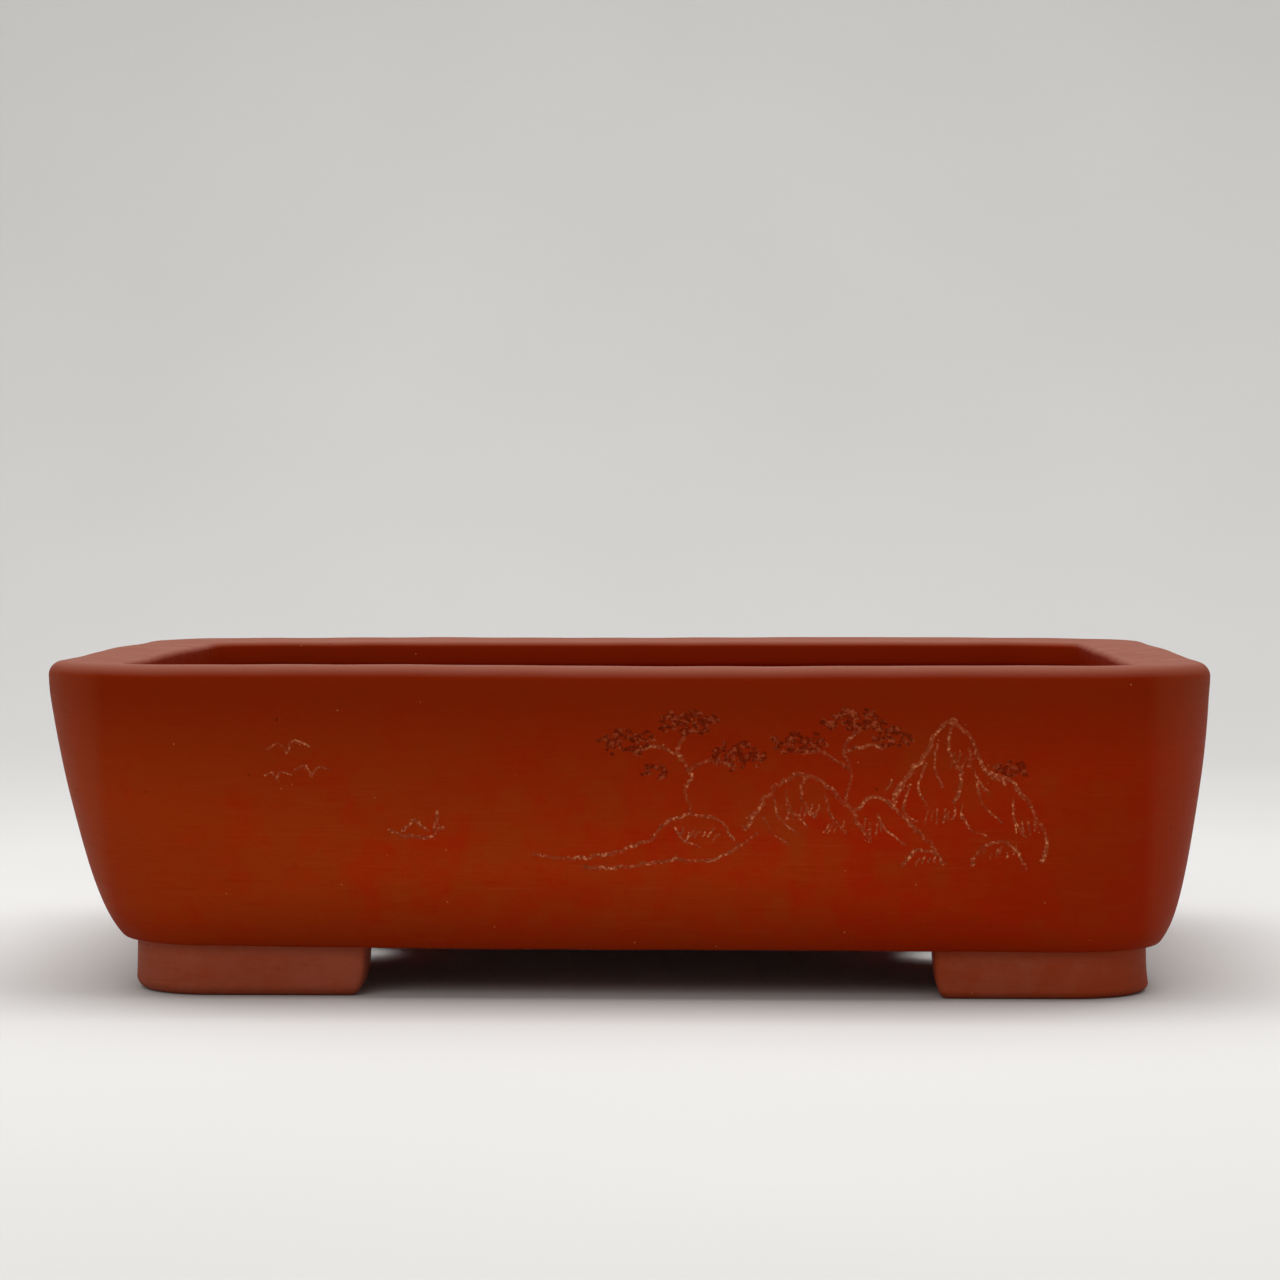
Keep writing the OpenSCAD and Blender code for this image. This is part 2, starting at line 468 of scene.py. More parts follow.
# Three birds, each a pair of wings, and a small boat with its awning and pole.
BIRDS = [
    [(-92, 66), (-89, 67.5), (-87, 65)],
    [(-87, 65), (-85, 68), (-81, 67)],
    [(-85, 60.5), (-82.5, 61.5), (-81, 59)],
    [(-81, 59), (-79, 61.5), (-76, 61)],
    [(-93, 59), (-91, 60), (-90, 58)],
    [(-90, 58), (-88.5, 60), (-86, 59.5)],
]
BOAT = [
    [(-62, 45), (-58, 43.5), (-52, 43.5), (-48, 46)],
    [(-58.5, 45), (-55.5, 47.5), (-52, 45)],
    [(-50, 45), (-49, 50)],
]

# Sizes of the cuts, in millimetres.
BOLD_WIDTH = 1.45
LINE_WIDTH = 1.15
LINE_DEPTH = 0.55
FINE_WIDTH = 0.8
FINE_DEPTH = 0.35
SHADING_WIDTH = FINE_WIDTH * 0.85
SHADING_STEP = 1.5
PECK_WIDTH = 1.05
PECK_DEPTH = 0.65
STROKE_LENGTHS = (0.7, 2.4)
SAMPLE_STEP = 0.15
# The share of a line's samples that have a chip broken out beside them.
CHIP_RATE = 0.05
# A low burr stands around a cut. Its reach is a multiple of the cut's half width, and its height
# is a share of the cut's depth.
BURR_REACH = 1.45
BURR_HEIGHT = 0.10
# Kinds of samples.
LINE, PECK = 0, 1


def smooth_path(points):
    """Samples along a smooth curve through the points, each with the curve's direction."""
    knots = np.array([points[0]] + list(points) + [points[-1]], float)
    path = []
    for k in range(1, len(knots) - 2):
        p0, p1, p2, p3 = knots[k - 1 : k + 3]
        steps = max(2, int(np.linalg.norm(p2 - p1) / SAMPLE_STEP))
        square, cube = 2 * p0 - 5 * p1 + 4 * p2 - p3, 3 * p1 - p0 - 3 * p2 + p3
        for t in np.linspace(0, 1, steps, endpoint=False):
            path.append(0.5 * (2 * p1 + (p2 - p0) * t + square * t**2 + cube * t**3))
    path = np.array(path + [knots[-1]])
    heading = np.gradient(path, axis=0)
    return path, heading / np.maximum(np.linalg.norm(heading, axis=1), 1e-9)[:, None]


def cut_line(samples, points, width, depth, rng):
    """Adds a line, cut as a chain of short strokes that vary in place and depth, with chips."""
    path, heading = smooth_path(points)
    left, length, aside, press = 0, 1, 0, 1
    for (x, z), (dx, dz) in zip(path, heading):
        if left <= 0:
            length = rng.uniform(*STROKE_LENGTHS)
            left = length
            aside = rng.uniform(-0.3, 0.3) * width
            press = rng.uniform(0.45, 1.15)
        swell = press * (0.5 + 0.5 * math.sin(math.pi * left / length))
        half = width / 2 * (0.5 + 0.5 * swell)
        samples.append((x - dz * aside, z + dx * aside, half, depth * swell, LINE))
        if rng.random() < CHIP_RATE:
            off = rng.uniform(-0.9, 0.9) * width
            half = rng.uniform(0.16, 0.3)
            samples.append((x - dz * off, z + dx * off, half, depth * 0.7, LINE))
        left -= SAMPLE_STEP


def cut_shading(samples, middle, count, length, slope, rng):
    """Adds short parallel cuts across a rock's side."""
    angle = math.radians(slope)
    for k in range(count):
        across = (k - (count - 1) / 2) * SHADING_STEP + rng.uniform(-0.3, 0.3)
        x, z = middle[0] + across, middle[1] + rng.uniform(-1, 1)
        half = length / 2 * rng.uniform(0.5, 1.1)
        bow = rng.uniform(-0.25, 0.25)
        dx, dz = half * math.cos(angle), half * math.sin(angle)
        points = [(x - dx, z - dz), (x + bow, z - bow), (x + dx, z + dz)]
        cut_line(samples, points, SHADING_WIDTH, FINE_DEPTH, rng)


def peck_clump(samples, middle, size, count, rng):
    """Adds the small nicks that stand for the needles of one clump of pine."""
    for _ in range(count):
        angle, reach = rng.uniform(0, 2 * math.pi), math.sqrt(rng.random())
        x = middle[0] + size[0] * reach * math.cos(angle)
        z = middle[1] + size[1] * reach * math.sin(angle) + 0.25 * size[1] * math.cos(x)
        slope, length = rng.uniform(-1.1, 1.1), rng.uniform(0.3, 1.2)
        press = rng.uniform(0.5, 1.1)
        half = PECK_WIDTH / 2 * (0.7 + 0.3 * press)
        dx, dz = math.cos(slope), math.sin(slope)
        for t in np.arange(-length / 2, length / 2, SAMPLE_STEP):
            samples.append((x + t * dx, z + t * dz, half, PECK_DEPTH * press, PECK))


def engraving():
    """All the samples of the landscape: column, z, half width, depth and kind, in metres."""
    rng = random.Random(4)
    samples = []
    for lines, width, depth in (
        (PEAKS, BOLD_WIDTH, LINE_DEPTH),
        (SHORES + BOULDERS + RIDGES + TRUNKS + BOAT, LINE_WIDTH, LINE_DEPTH),
        (FOLDS + BIRDS, FINE_WIDTH, FINE_DEPTH),
    ):
        for points in lines:
            cut_line(samples, points, width, depth, rng)
    for group in SHADING:
        cut_shading(samples, *group, rng)
    for clump in CLUMPS:
        peck_clump(samples, *clump, rng)
    return np.array(samples) * (MM, MM, MM, MM, 1)


def engraver():
    """The two functions that swept_piece needs to carve the landscape into the front wall."""
    samples = engraving()
    tree = KDTree(len(samples))
    for k, (x, z) in enumerate(samples[:, :2]):
        tree.insert((x, 0, z), k)
    tree.balance()
    reach = samples[:, 2].max() * BURR_REACH

    def wanted(column, z, half):
        """Whether a cut may reach into the cell with this middle and half size."""
        distance = tree.find((column, 0, z))[2]
        return distance < reach + half * math.sqrt(2)

    def carve(column, z, outer):
        """Depths of the cuts, less than zero on a burr, and shares of line and peck, at points."""
        depth = np.zeros(len(column))
        marks = {LINE: np.zeros(len(column)), PECK: np.zeros(len(column))}
        for n in np.flatnonzero(outer):
            deepest, burr = 0.0, 0.0
            for _, k, distance in tree.find_range((column[n], 0, z[n]), reach):
                _, _, half, full, kind = samples[k]
                share = distance / half
                if share < 1:
                    cut = (1 - share * share) ** 1.5
                    deepest = max(deepest, full * cut)
                    marks[int(kind)][n] = max(marks[int(kind)][n], cut)
                elif share < BURR_REACH:
                    hump = math.sin(math.pi * (share - 1) / (BURR_REACH - 1))
                    burr = max(burr, BURR_HEIGHT * full * hump)
            depth[n] = deepest if deepest > 0 else -burr
        return {"depth": depth, "cut": marks[LINE], "peck": marks[PECK]}

    return wanted, carve


# ---------------------------------------------------------------- feet and floor


def foot_outline(inwards, end_x, end_y, end_r):
    """The L around a corner, drawn in by inwards, with its outer corner at the origin.

    Its legs reach to end_x and end_y, and the corners of their ends are rounded by end_r.
    """
    outer_r = CORNER_R - FOOT_INSET
    inner_r = outer_r - FOOT_LEG_W
    w = FOOT_LEG_W - inwards
    points = arc((outer_r, outer_r), outer_r - inwards, 180, 270, 16)
    points += [(x, inwards) for x in np.linspace(outer_r, end_x - end_r, 12)[1:-1]]
    points += arc((end_x - end_r, inwards + end_r), end_r, 270, 360, 4)
    points += arc((end_x - end_r, w - end_r), end_r, 0, 90, 4)
    points += [(x, w) for x in np.linspace(end_x - end_r, w + inner_r, 10)[1:-1]]
    points += arc((w + inner_r, w + inner_r), inner_r, 270, 180, 8)
    points += [(w, y) for y in np.linspace(w + inner_r, end_y - end_r, 8)[1:-1]]
    points += arc((w - end_r, end_y - end_r), end_r, 0, 90, 4)
    points += arc((inwards + end_r, end_y - end_r), end_r, 90, 180, 4)
    points += [(inwards, y) for y in np.linspace(end_y - end_r, outer_r, 10)[1:-1]]
    return points


# Radius of a foot's worn bottom edge, how far its sides flare out towards that, and how far its
# leg ends are worn back: at the top, and how much more at the ground.
LEFT_FOOT = (3.0 * MM, 0.5 * MM, (0.7 * MM, 4.0 * MM))
RIGHT_FOOT = (2.0 * MM, 1.1 * MM, (0.0 * MM, 3.2 * MM))
FOOT_END_R = 1.8 * MM
# A leg end is rounded under below this height.
FOOT_HEEL = 7.5 * MM


def foot_layers(edge_r, flare, worn_back):
    """Heights of a foot's layers, with how far its sides and its leg ends are drawn in there."""
    layers = []
    heights = list(np.linspace(FOOT_TOP, edge_r, 14))
    heights += [edge_r * (1 - math.sin(math.radians(a))) for a in range(10, 91, 10)]
    for z in heights:
        share = 1 - z / FOOT_TOP
        edge = max(0.0, 1 - z / edge_r)
        heel = max(0.0, 1 - z / FOOT_HEEL)
        side = edge_r * (1 - math.sqrt(1 - edge**2)) - flare * share**3 * (1 - edge)
        end = worn_back[0] + worn_back[1] * (0.25 * share + 0.75 * (1 - math.sqrt(1 - heel**2)))
        layers.append((z, side, end))
    return layers


def make_foot(node, material):
    """An L-shaped foot, lofted down from its top through its layers, at its node's place."""
    low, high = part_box(node)
    right, back = node.endswith("right"), "back" in node
    end_x, end_y = high.x - low.x, high.y - low.y
    corner = (high.x if right else low.x, high.y if back else low.y)
    points, faces = [], []
    layers = foot_layers(*(RIGHT_FOOT if right else LEFT_FOOT))
    for z, side, end in layers:
        for x, y in foot_outline(side, end_x - end, end_y - end, FOOT_END_R):
            points.append((corner[0] + (-x if right else x), corner[1] + (-y if back else y), z))
    count = len(points) // len(layers)
    flip = right != back
    for layer in range(len(layers) - 1):
        for k in range(count):
            after = (k + 1) % count
            a, b = layer * count, (layer + 1) * count
            face = [a + k, b + k, b + after, a + after]
            faces.append(face[::-1] if flip else face)
    top = list(range(count))
    bottom = list(range(len(points) - count, len(points)))
    faces += [top[::-1], bottom] if flip else [top, bottom[::-1]]

    def sharp(a, b):
        """Only the edges around the top stay sharp."""
        return (a < count) & (b < count)

    piece = make_object(node, make_uneven(np.array(points)), faces, sharp)
    place(piece, node, material)


def plan_outline(inset, steps):
    """The pot's plan outline, drawn in by an inset."""
    x, y, r = half_run(LENGTH), half_run(WIDTH), CORNER_R - inset
    outline = arc((x, y), r, 0, 90, steps) + arc((-x, y), r, 90, 180, steps)
    return outline + arc((-x, -y), r, 180, 270, steps) + arc((x, -y), r, 270, 360, steps)


HOLE_EDGE_R = 1.2 * MM  # at most, and never more than 0.3 of the hole's radius
HOLE_STEPS = 48
FLOOR_CELL = 6 * MM
FLOOR_SHARP = math.radians(50)


def cut_hole(piece, x, y, radius):
    """Cuts a round hole with softened edges down through the floor slab."""
    soft = min(HOLE_EDGE_R, radius * 0.3)
    past = 1 * MM
    profile = [(radius + soft + past, FLOOR_TOP + past)]
    profile += [(radius + soft * (1 - math.sin(a)), FLOOR_TOP - soft * (1 - math.cos(a)))
                for a in np.radians(np.linspace(0, 90, 6))]
    profile += [(r, FLOOR_TOP + FOOT_TOP - z) for r, z in profile[::-1]]
    turns = np.arange(HOLE_STEPS) * 2 * math.pi / HOLE_STEPS
    points, faces = [], []
    for r, z in profile:
        points += [(x + r * math.cos(a), y + r * math.sin(a), z) for a in turns]
    for ring in range(len(profile) - 1):
        for k in range(HOLE_STEPS):
            a, b, after = ring * HOLE_STEPS, (ring + 1) * HOLE_STEPS, (k + 1) % HOLE_STEPS
            faces.append([a + k, b + k, b + after, a + after])
    bottom = list(range(len(points) - HOLE_STEPS, len(points)))
    faces += [list(range(HOLE_STEPS)), bottom[::-1]]
    cutter = make_object("cutter", points, faces)
    modifier = piece.modifiers.new("hole", "BOOLEAN")
    modifier.object = cutter
    modifier.solver = "EXACT"
    bpy.context.view_layer.objects.active = piece
    bpy.ops.object.modifier_apply(modifier=modifier.name)
    bpy.data.objects.remove(cutter)


def floor_mesh():
    """The floor slab without its holes, in small cells so that it can be uneven."""
    mesh = bmesh.new()
    outline = plan_outline(FLOOR_INSET, 14)
    mesh.faces.new([mesh.verts.new((x, y, FLOOR_TOP)) for x, y in outline])
    for axis, reach in ((0, LENGTH / 2), (1, WIDTH / 2)):
        for cut in np.arange(-reach, reach, FLOOR_CELL):
            spot, normal = [0, 0, 0], [0, 0, 0]
            spot[axis], normal[axis] = cut, 1
            everything = mesh.verts[:] + mesh.edges[:] + mesh.faces[:]
            bmesh.ops.bisect_plane(mesh, geom=everything, plane_co=spot, plane_no=normal)
    thick = bmesh.ops.extrude_face_region(mesh, geom=mesh.faces[:])
    for v in (v for v in thick["geom"] if isinstance(v, bmesh.types.BMVert)):
        v.co.z = FOOT_TOP
    bmesh.ops.recalc_face_normals(mesh, faces=mesh.faces[:])
    data = bpy.data.meshes.new("floor_slab")
    mesh.to_mesh(data)
    mesh.free()
    return data


def make_floor(material):
    """The floor slab with the two drainage holes and four tie-wire holes of the record."""
    piece = bpy.data.objects.new("floor_slab", floor_mesh())
    bpy.context.scene.collection.objects.link(piece)
    mounts = {m["name"]: m for m in frame["record"]["mounts"]}
    for name in ("drain_hole_left", "drain_hole_right"):
        x, y, _ = mounts[name]["pos_m"]
        cut_hole(piece, x - BASE_LEAN, y, DRAIN_HOLE_R)
    wire = mounts["tie_wire_holes"]
    for across in (-1, 1):
        for along in (-1, 1):
            x = wire["pos_m"][0] - BASE_LEAN + along * wire["dims"]["spacing_x_mm"] / 2 * MM
            cut_hole(piece, x, across * wire["dims"]["spacing_y_mm"] / 2 * MM, WIRE_HOLE_R)
    points = np.array([v.co[:] for v in piece.data.vertices])
    points[:, 0] += BASE_LEAN * (WALL_TOP - points[:, 2]) / (WALL_TOP - FOOT_TOP)
    piece.data.vertices.foreach_set("co", make_uneven(points).ravel())
    piece.data.shade_smooth()
    piece.data.set_sharp_from_angle(angle=FLOOR_SHARP)
    place(piece, "floor_slab", material)


# ---------------------------------------------------------------- materials

# Colours of the fired clay, some of them carrying painted sheen and shade: linear red, green and blue.
WALL_RED, WALL_BROWN = (0.375, 0.0155, 0.0004), (0.320, 0.037, 0.0035)
FOOT_RED, FOOT_PINK = (0.31, 0.042, 0.010), (0.33, 0.072, 0.034)
FLOOR_RED, FLOOR_BROWN = (0.30, 0.026, 0.004), (0.26, 0.028, 0.005)
SCRATCH = (0.40, 0.060, 0.016)
# Painted sheen on the end walls: a paler grey-pink, standing in for a reflection at their grazing
# faces.
PAINTED_END_SHEEN = (0.31, 0.088, 0.036)
# Painted sheen on the rim's top faces: a paler pink for the light reflected there.
PAINTED_TOP_SHEEN = (0.235, 0.084, 0.056)
PALE_GRAIN, DARK_GRAIN = (0.50, 0.17, 0.07), (0.05, 0.006, 0.002)
CUT_DULL, CUT_BRIGHT = (0.32, 0.060, 0.020), (0.78, 0.30, 0.13)
# Pecks: a dark that is partly the pecked clay's and partly painted shade in the pits, and pale flecks.
PECK_DARK_AND_SHADE, PECK_PALE = (0.14, 0.014, 0.003), (0.42, 0.085, 0.030)
# Roughness and specular level of the burnished walls, the rim, the feet and the floor. The
# specular level is low, because the pale studio's reflections would wash out the red.
WALL_GLOSS, RIM_GLOSS = (0.46, 0.012), (0.48, 0.012)
FOOT_GLOSS, FLOOR_GLOSS = (0.62, 0.08), (0.66, 0.08)


class Nodes:
    """Builds one material's node tree with short calls.

    place and facing are a point's place on the object and the direction of its surface.
    """

    def __init__(self, name):
        self.material = bpy.data.materials.new(name)
        self.material.use_nodes = True
        self.tree = self.material.node_tree
        self.shader = self.tree.nodes["Principled BSDF"]
        at = self.add("ShaderNodeTexCoord").outputs
        self.place, self.facing = at["Object"], at["Normal"]

    def add(self, kind, **settings):
        node = self.tree.nodes.new(kind)
        for key, value in settings.items():
            setattr(node, key, value)
        return node

    def link(self, source, socket):
        self.tree.links.new(source, socket)

    def stretched(self, scale):
        """The place on the piece, scaled along each axis."""
        mapping = self.add("ShaderNodeMapping")
        mapping.inputs["Scale"].default_value = scale
        self.link(self.place, mapping.inputs["Vector"])
        return mapping.outputs["Vector"]

    def split(self, vector):
        """The three parts of a vector."""
        node = self.add("ShaderNodeSeparateXYZ")
        self.link(vector, node.inputs["Vector"])
        return node.outputs

    def noise(self, scale, detail=4.0, roughness=0.5, vector=None):
        node = self.add("ShaderNodeTexNoise")
        node.inputs["Scale"].default_value = scale
        node.inputs["Detail"].default_value = detail
        node.inputs["Roughness"].default_value = roughness
        self.link(vector or self.place, node.inputs["Vector"])
        return node.outputs["Fac"]

    def specks(self, scale, size, rarity):
        """1 inside small round grains scattered through the clay, 0 elsewhere."""
        node = self.add("ShaderNodeTexVoronoi")
        node.inputs["Scale"].default_value = scale
        self.link(self.place, node.inputs["Vector"])
        grain = self.ramp(node.outputs["Distance"], size * 0.6, size, flip=True)
        chosen = self.add("ShaderNodeSeparateColor")
        self.link(node.outputs["Color"], chosen.inputs["Color"])
        some = self.ramp(chosen.outputs["Red"], rarity, rarity + 0.03)
        return self.math("MULTIPLY", grain, some)

    def ramp(self, value, low, high, flip=False, to=(0.0, 1.0)):
        """Maps a value from low..high to 0..1, or to another pair, and clamps it."""
        node = self.add("ShaderNodeMapRange")
        node.inputs["From Min"].default_value = low
        node.inputs["From Max"].default_value = high
        node.inputs["To Min"].default_value = to[1] if flip else to[0]
        node.inputs["To Max"].default_value = to[0] if flip else to[1]
        self.link(value, node.inputs["Value"])
        return node.outputs["Result"]

    def math(self, operation, a, b):
        node = self.add("ShaderNodeMath", operation=operation)
        for socket, value in zip(node.inputs, (a, b)):
            if isinstance(value, (int, float)):
                socket.default_value = value
            else:
                self.link(value, socket)
        return node.outputs["Value"]

    def mix(self, share, a, b):
        """Blends from colour a to colour b."""
        node = self.add("ShaderNodeMix", data_type="RGBA")
        colours = [s for s in node.inputs if s.type == "RGBA"]
        self.link(share, node.inputs["Factor"])
        for socket, value in zip(colours, (a, b)):
            if isinstance(value, tuple):
                socket.default_value = (*value, 1)
            else:
                self.link(value, socket)
        return next(s for s in node.outputs if s.type == "RGBA")

    def attribute(self, name):
        node = self.add("ShaderNodeAttribute", attribute_name=name)
        return node.outputs["Fac"]

    def blend(self, parts):
        """The sum of several values, each times its weight."""
        total = None
        for value, weight in parts:
            part = self.math("MULTIPLY", value, weight)
            total = self.math("ADD", total, part) if total else part
        return total

    def largest(self, first, *others):
        """The largest of several values."""
        for value in others:
            first = self.math("MAXIMUM", first, value)
        return first

    def bump(self, heights):
        """Bumps the surface by several (height, distance) pairs, one on the other."""
        normal = None
        for height, distance in heights:
            node = self.add("ShaderNodeBump")
            node.inputs["Strength"].default_value = 1.0
            node.inputs["Distance"].default_value = distance
            self.link(height, node.inputs["Height"])
            if normal:
                self.link(normal, node.inputs["Normal"])
            normal = node.outputs["Normal"]
        self.link(normal, self.shader.inputs["Normal"])


def body_colour(n, base, shade, cloud, streaks, grain):
    """The clay mottled between two colours, with darker streaks and grain, and pale scratches."""
    across = n.split(n.place)["X"]
    patches = n.blend([(n.noise(38, 4, 0.55), 0.5), (cloud, 0.5)])
    # Painted light: the patches lean to the second, browner colour at the left end and to the redder
    # at the right, as a warmer light from the left would show.
    patches = n.math("ADD", patches, n.ramp(across, -150 * MM, 150 * MM, to=(0.15, -0.12)))
    colour = n.mix(n.ramp(patches, 0.38, 0.62), base, shade)
    darker = tuple(c * 0.80 for c in base)
    colour = n.mix(n.ramp(streaks, 0.55, 0.75, to=(0.0, 0.55)), colour, darker)
    colour = n.mix(n.ramp(grain, 0.35, 0.75, to=(0.0, 0.30)), colour, darker)
    scratches = n.noise(45, 4, 0.7, n.stretched((1, 1, 30)))
    return n.mix(n.ramp(scratches, 0.56, 0.72, to=(0.0, 0.3)), colour, SCRATCH)


def add_painted_shade_and_sheen(n, colour, base, painted_light):
    """Paints shade below the rim, at the base and at the ends, and a paler sheen on the end walls."""
    across, _, height = n.split(n.place)
    # Painted shade: a darker red below the rim, near the ground and towards the ends, most at the
    # right.
    painted_shade = (base[0] * 0.5, base[1] * 0.84, base[2] * 0.8)
    below_rim = n.ramp(height, 36 * MM, 80 * MM, to=(0.0, 0.92))
    at_base = n.ramp(height, 12 * MM, 34 * MM, flip=True, to=(0.0, 0.8))
    at_left = n.ramp(across, -140 * MM, -60 * MM, to=(0.4, 0.0))
    at_right = n.ramp(across, 40 * MM, 120 * MM, to=(0.0, 0.55))
    darkened = n.largest(below_rim, at_base, at_left, at_right)
    colour = n.mix(n.math("MULTIPLY", darkened, painted_light), colour, painted_shade)
    # Painted sheen: the end walls, where they face sideways, take a paler grey-pink as a reflection
    # would.
    sideways = n.ramp(n.math("ABSOLUTE", n.split(n.facing)["X"], 0), 0.4, 1.0, to=(0.0, 0.3))
    outside = n.ramp(n.math("ABSOLUTE", across, 0), 134.5 * MM, 138 * MM, to=(0.0, painted_light))
    return n.mix(n.math("MULTIPLY", sideways, outside), colour, PAINTED_END_SHEEN)


def add_engraving(n, colour, rough):
    """Colours the cuts, and the pecks partly with painted shade; both are rougher than the burnished
    wall around.
    """
    cut, peck = n.attribute("cut"), n.attribute("peck")
    sparkle = n.ramp(n.noise(1100, 2, 0.6), 0.52, 0.66)
    flecks = n.ramp(n.noise(750, 2, 0.6), 0.48, 0.60)
    fading = n.ramp(n.noise(170, 2, 0.5), 0.38, 0.60, to=(0.3, 0.8))
    fresh = n.mix(sparkle, CUT_DULL, CUT_BRIGHT)
    # The pecks are dark partly as pecked clay is and partly as painted shade in their pits, with pale
    # flecks.
    peck_tone_and_shade = n.mix(flecks, PECK_DARK_AND_SHADE, PECK_PALE)
    colour = n.mix(n.math("MULTIPLY", n.ramp(cut, 0.0, 0.45), fading), colour, fresh)
    colour = n.mix(n.ramp(peck, 0.0, 0.4, to=(0.0, 0.6)), colour, peck_tone_and_shade)
    return colour, n.largest(rough, n.ramp(n.largest(cut, peck), 0.0, 0.5, to=(0.0, 0.8)))


def clay(name, base, shade, gloss, painted_light=1.0, engraved=False, rim_top_sheen=False):
    """Fired red clay between two colours, with grains, faint burnishing streaks and pits.

    gloss is its roughness and specular level. The next share scales the painted shade and end sheen.
    """
    n = Nodes(name)
    roughness, specular = gloss
    cloud = n.noise(130, 4, 0.6)
    streaks = n.noise(75, 4, 0.65, n.stretched((1, 1, 12)))
    grain = n.noise(2400, 2, 0.7)
    pale, dark = n.specks(330, 0.10, 0.90), n.specks(260, 0.10, 0.93)
    colour = body_colour(n, base, shade, cloud, streaks, grain)
    colour = add_painted_shade_and_sheen(n, colour, base, painted_light)
    colour = n.mix(n.math("MULTIPLY", pale, 0.5), colour, PALE_GRAIN)
    colour = n.mix(n.math("MULTIPLY", dark, 0.5), colour, DARK_GRAIN)
    rough = n.ramp(n.blend([(cloud, 0.5), (streaks, 0.5)]), 0.35, 0.65,
                   to=(roughness - 0.06, roughness + 0.08))
    if rim_top_sheen:
        # Painted sheen: faces that look up take a paler pink, as a soft reflection of the light above
        # would give.
        on_top = n.ramp(n.split(n.facing)["Z"], 0.2, 0.95, to=(0.0, 0.9))
        colour = n.mix(on_top, colour, PAINTED_TOP_SHEEN)
    if engraved:
        colour, rough = add_engraving(n, colour, rough)
    n.link(colour, n.shader.inputs["Base Color"])
    n.link(rough, n.shader.inputs["Roughness"])
    n.shader.inputs["Specular IOR Level"].default_value = specular
    streak_depth = (0.02 if rim_top_sheen else 0.08) * MM
    n.bump([
        (n.noise(420, 3, 0.6), 0.04 * MM),
        (streaks, streak_depth),
        (grain, 0.03 * MM),
        (n.math("MULTIPLY", dark, -1), 0.2 * MM),
    ])
    return n.material


def studio_material():
    """Plain pale paper for the floor and the sweep behind the pot."""
    n = Nodes("studio_paper")
    tint = n.ramp(n.noise(3, 2, 0.5), 0.3, 0.7)
    colour = n.mix(tint, (0.62, 0.615, 0.605), (0.65, 0.645, 0.635))
    n.link(colour, n.shader.inputs["Base Color"])
    n.shader.inputs["Roughness"].default_value = 0.9
    n.shader.inputs["Specular IOR Level"].default_value = 0.1
    return n.material


# ---------------------------------------------------------------- studio and camera

SWEEP_FRONT = -5.0
SWEEP_BACK = 1.6
SWEEP_HEIGHT = 2.6
SWEEP_R = 0.8
SWEEP_HALF_WIDTH = 5.0

WORLD_COLOUR = (1.0, 0.985, 0.96, 1)
WORLD_STRENGTH = 0.385
# Soft rectangular lights: name, place, the point that each faces, its two sizes and its power.
LIGHTS = [
    ("overhead", (0.0, -0.1, 1.1), (0, -0.1, 0), (1.3, 0.7), 11),
    ("above_back", (0.0, 0.7, 1.3), (0, 0.5, 0), (2.4, 1.2), 11),
    ("front_left", (-0.5, -1.7, 1.15), (0, 0, 0.04), (1.4, 0.9), 6),
]

CAMERA_DISTANCE = 0.9845
CAMERA_YAW = math.radians(1.874)
CAMERA_PITCH = math.radians(1.874)
CAMERA_ASIDE = 1.09 * MM
CAMERA_ABOVE_RIM = 35.07 * MM
CAMERA_LENS = 96.05  # millimetres, on a sensor 36 mm wide


def make_sweep():
    """A pale floor that curves up into a backdrop, so the camera's own view has no horizon."""
    profile = [(SWEEP_FRONT, 0.0), (SWEEP_BACK - SWEEP_R, 0.0)]
    profile += arc((SWEEP_BACK - SWEEP_R, SWEEP_R), SWEEP_R, -90, 0, 24)[1:]
    profile += [(SWEEP_BACK, SWEEP_HEIGHT)]
    points = [(x, y, z) for y, z in profile for x in (-SWEEP_HALF_WIDTH, SWEEP_HALF_WIDTH)]
    faces = [[2 * k, 2 * k + 1, 2 * k + 3, 2 * k + 2] for k in range(len(profile) - 1)]
    sweep = make_object("studio_sweep", points, faces)
    sweep.data.materials.append(studio_material())


def add_area_light(name, place_at, aim_at, size, power):
    light = bpy.data.lights.new(name, "AREA")
    light.shape = "RECTANGLE"
    light.size, light.size_y = size
    light.energy = power
    lamp = bpy.data.objects.new(name, light)
    bpy.context.scene.collection.objects.link(lamp)
    lamp.location = place_at
    away = lamp.location - Vector(aim_at)
    lamp.rotation_euler = away.to_track_quat("Z", "Y").to_euler()


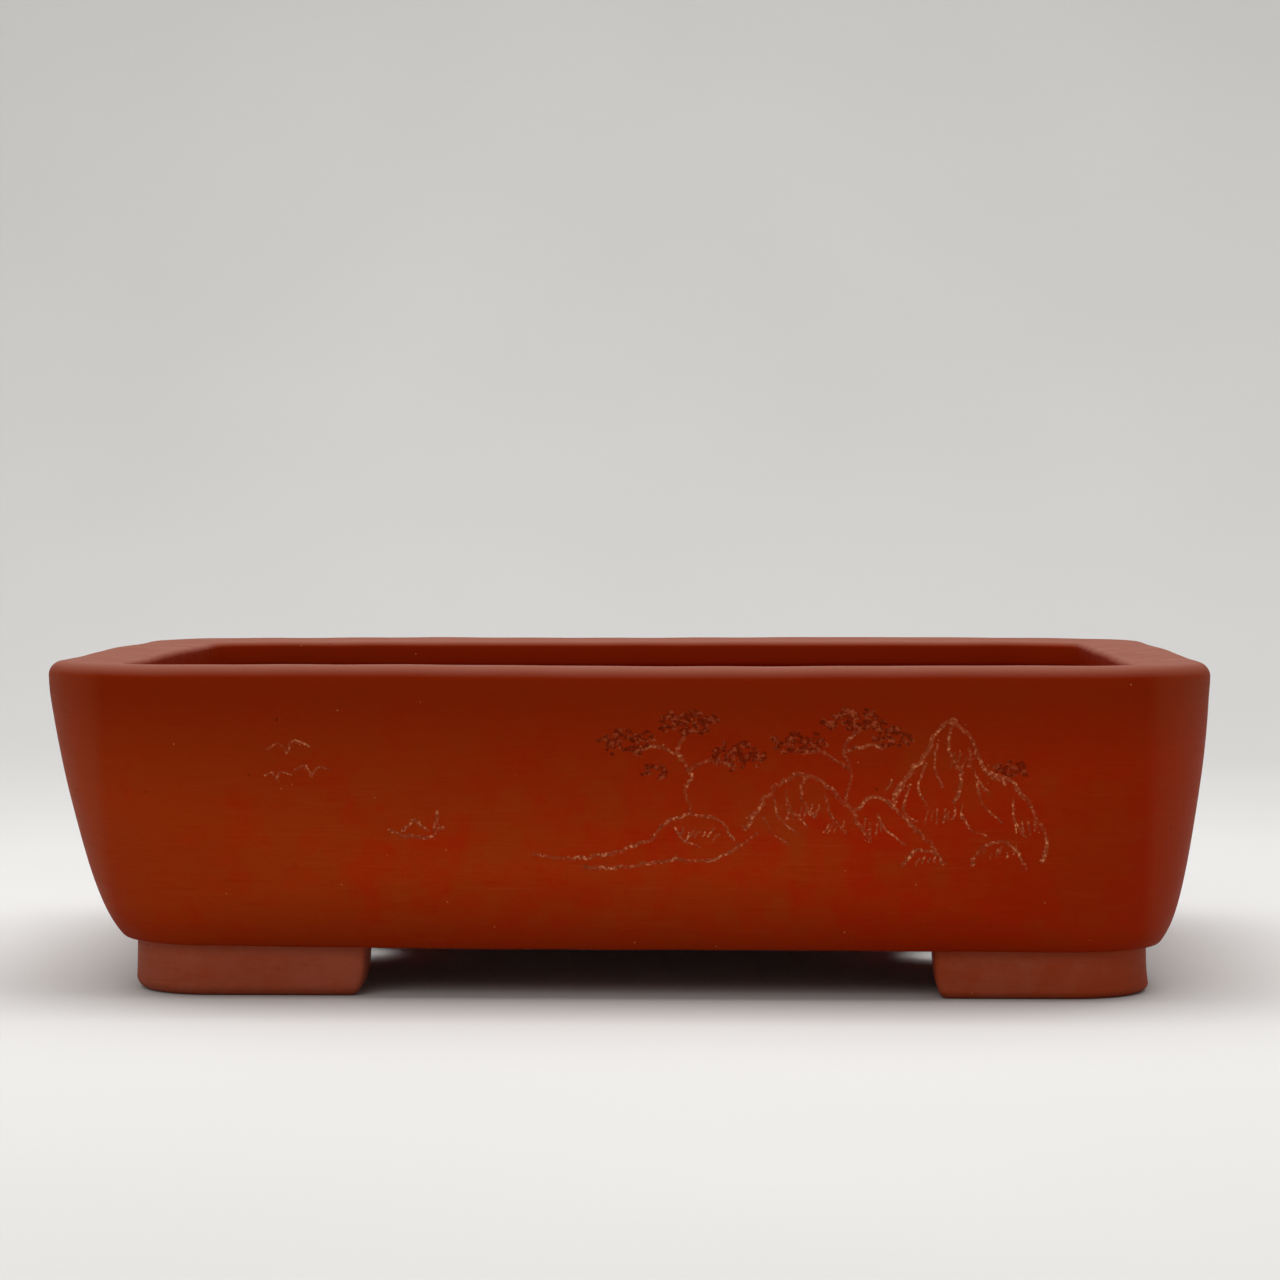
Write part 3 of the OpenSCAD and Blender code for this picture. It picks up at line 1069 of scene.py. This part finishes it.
def make_lights():
    """Pale light all round, two broad soft lights above, and a weaker one from the front left."""
    world = bpy.data.worlds.new("studio_world")
    bpy.context.scene.world = world
    world.use_nodes = True
    background = world.node_tree.nodes["Background"]
    background.inputs["Color"].default_value = WORLD_COLOUR
    background.inputs["Strength"].default_value = WORLD_STRENGTH
    for light in LIGHTS:
        add_area_light(*light)


def make_camera():
    """The camera stands a little to the right of the pot's middle and looks slightly down."""
    camera = bpy.data.objects.new("camera", bpy.data.cameras.new("camera"))
    bpy.context.scene.collection.objects.link(camera)
    camera.data.lens = CAMERA_LENS
    camera.data.sensor_width = 36
    camera.data.clip_end = 20
    camera.location = (
        CAMERA_ASIDE * math.cos(CAMERA_YAW) + CAMERA_DISTANCE * math.sin(CAMERA_YAW),
        CAMERA_ASIDE * math.sin(CAMERA_YAW) - CAMERA_DISTANCE * math.cos(CAMERA_YAW),
        HEIGHT + CAMERA_ABOVE_RIM,
    )
    camera.rotation_euler = (math.pi / 2 - CAMERA_PITCH, 0, CAMERA_YAW)
    bpy.context.scene.camera = camera


# ---------------------------------------------------------------- the pot


def make_pot():
    """All 13 pieces, in five clays."""
    wall_clay = clay("clay_wall", WALL_RED, WALL_BROWN, WALL_GLOSS)
    front_clay = clay("clay_front_wall", WALL_RED, WALL_BROWN, WALL_GLOSS, engraved=True)
    rim_clay = clay("clay_rim", WALL_RED, WALL_BROWN, RIM_GLOSS, rim_top_sheen=True)
    foot_clay = clay("clay_foot", FOOT_RED, FOOT_PINK, FOOT_GLOSS, painted_light=0.0)
    floor_clay = clay("clay_floor", FLOOR_RED, FLOOR_BROWN, FLOOR_GLOSS, painted_light=0.0)
    section, sharp_rows = wall_section()
    rim, rim_sharp = rim_section()
    wanted, carve = engraver()
    for side in SIDES:
        if side == "front":
            wall = swept_piece("front_wall", side, section, sharp_rows, wanted, carve)
            place(wall, "front_wall", front_clay)
        else:
            wall = swept_piece(side + "_wall", side, section, sharp_rows)
            place(wall, side + "_wall", wall_clay)
        strip = swept_piece("rim_" + side, side, rim, rim_sharp)
        place(strip, "rim_" + side, rim_clay)
    for end in ("front", "back"):
        for hand in ("left", "right"):
            make_foot("foot_" + end + "_" + hand, foot_clay)
    make_floor(floor_clay)


make_camera()
make_sweep()
make_lights()
make_pot()
bpy.context.scene.view_settings.view_transform = "Standard"
